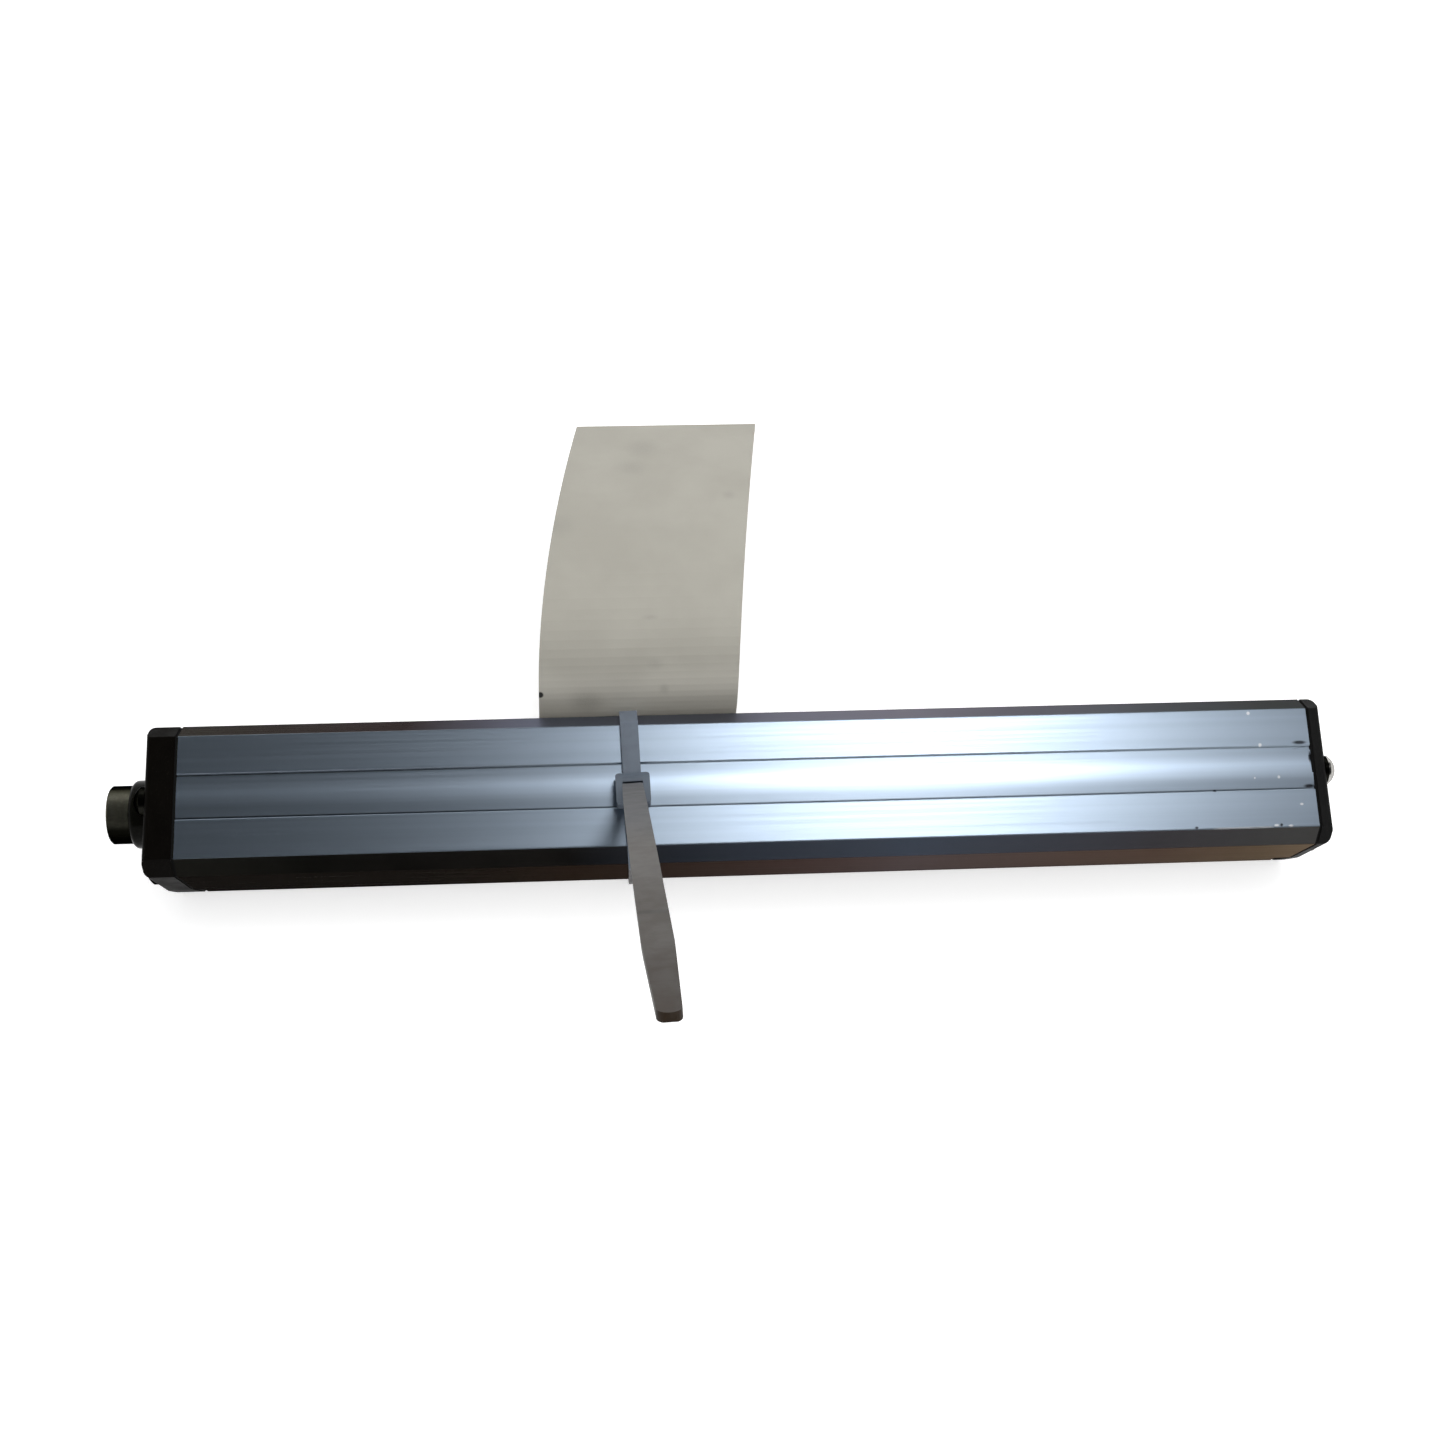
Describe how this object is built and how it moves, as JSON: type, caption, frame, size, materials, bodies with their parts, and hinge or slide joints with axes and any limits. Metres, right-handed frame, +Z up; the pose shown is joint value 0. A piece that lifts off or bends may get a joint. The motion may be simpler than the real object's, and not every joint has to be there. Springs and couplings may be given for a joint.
{
  "type": "magnetostrictive linear position sensor",
  "caption": "Profile-housed magnetostrictive position sensor: extruded housing, sealed end caps, round male plug connector and inner waveguide, with a tied-on blank tag.",
  "frame": {"origin": "middle of the housing's base, on its underside, half way along the extrusion", "axes": "+X along the housing towards the plain end, the connector points to -X; +Z up out of the sensing face; the tag lies towards +Y"},
  "size_m": [0.3352, 0.2078, 0.2808],
  "materials": {
    "anodised_housing": "satin anodised",
    "black_cap": "matte",
    "gasket_rubber": "matte",
    "black_screws": "blackened, glossy",
    "connector_barrel": "dark plated, satin",
    "collar_plastic": "glossy",
    "plated_nut": "plated",
    "insulator_plastic": "matte",
    "gold_contacts": "plated",
    "lead_insulation": "satin",
    "board_laminate": "solder mask",
    "chip_plastic": "matte",
    "capacitor_cans": "satin",
    "header_plastic": "satin",
    "tube_steel": "drawn",
    "sleeve_plastic": "waxy",
    "wire_alloy": "drawn",
    "copper_wire": "drawn copper",
    "silicone_rubber": "matte",
    "damper_rubber": "matte",
    "bobbin_plastic": "satin",
    "coil_copper": "enamelled copper",
    "magnet_metal": "nickel plated",
    "shield_metal": "plated",
    "tie_nylon": "satin nylon",
    "tag_card": "matte"
  },
  "bodies": {
    "root": {"housing_profile": "anodised_housing", "connector_end_cap": "black_cap", "plain_end_cap": "black_cap", "connector_end_gasket": "gasket_rubber", "plain_end_gasket": "gasket_rubber", "connector_cap_screws": "black_screws", "plain_cap_screws": "black_screws", "screw_washers": "black_screws", "connector_shell": "connector_barrel", "connector_collar": "collar_plastic", "connector_seal": "gasket_rubber", "connector_nut": "plated_nut", "connector_insulator": "insulator_plastic", "contact_pins": "gold_contacts", "lead_wires": "lead_insulation", "circuit_board": "board_laminate", "signal_chips": "chip_plastic", "board_capacitors": "capacitor_cans", "board_header": "header_plastic", "waveguide_tube": "tube_steel", "waveguide_sleeve": "sleeve_plastic", "waveguide_wire": "wire_alloy", "return_conductor": "copper_wire", "tube_supports": "silicone_rubber", "end_damper": "damper_rubber", "coil_bobbin": "bobbin_plastic", "pickup_coil": "coil_copper", "bias_magnet": "magnet_metal", "coil_shield": "shield_metal", "coil_leads": "copper_wire", "cable_tie": "tie_nylon", "tag_sheet": "tag_card"}
  },
  "joints": []
}
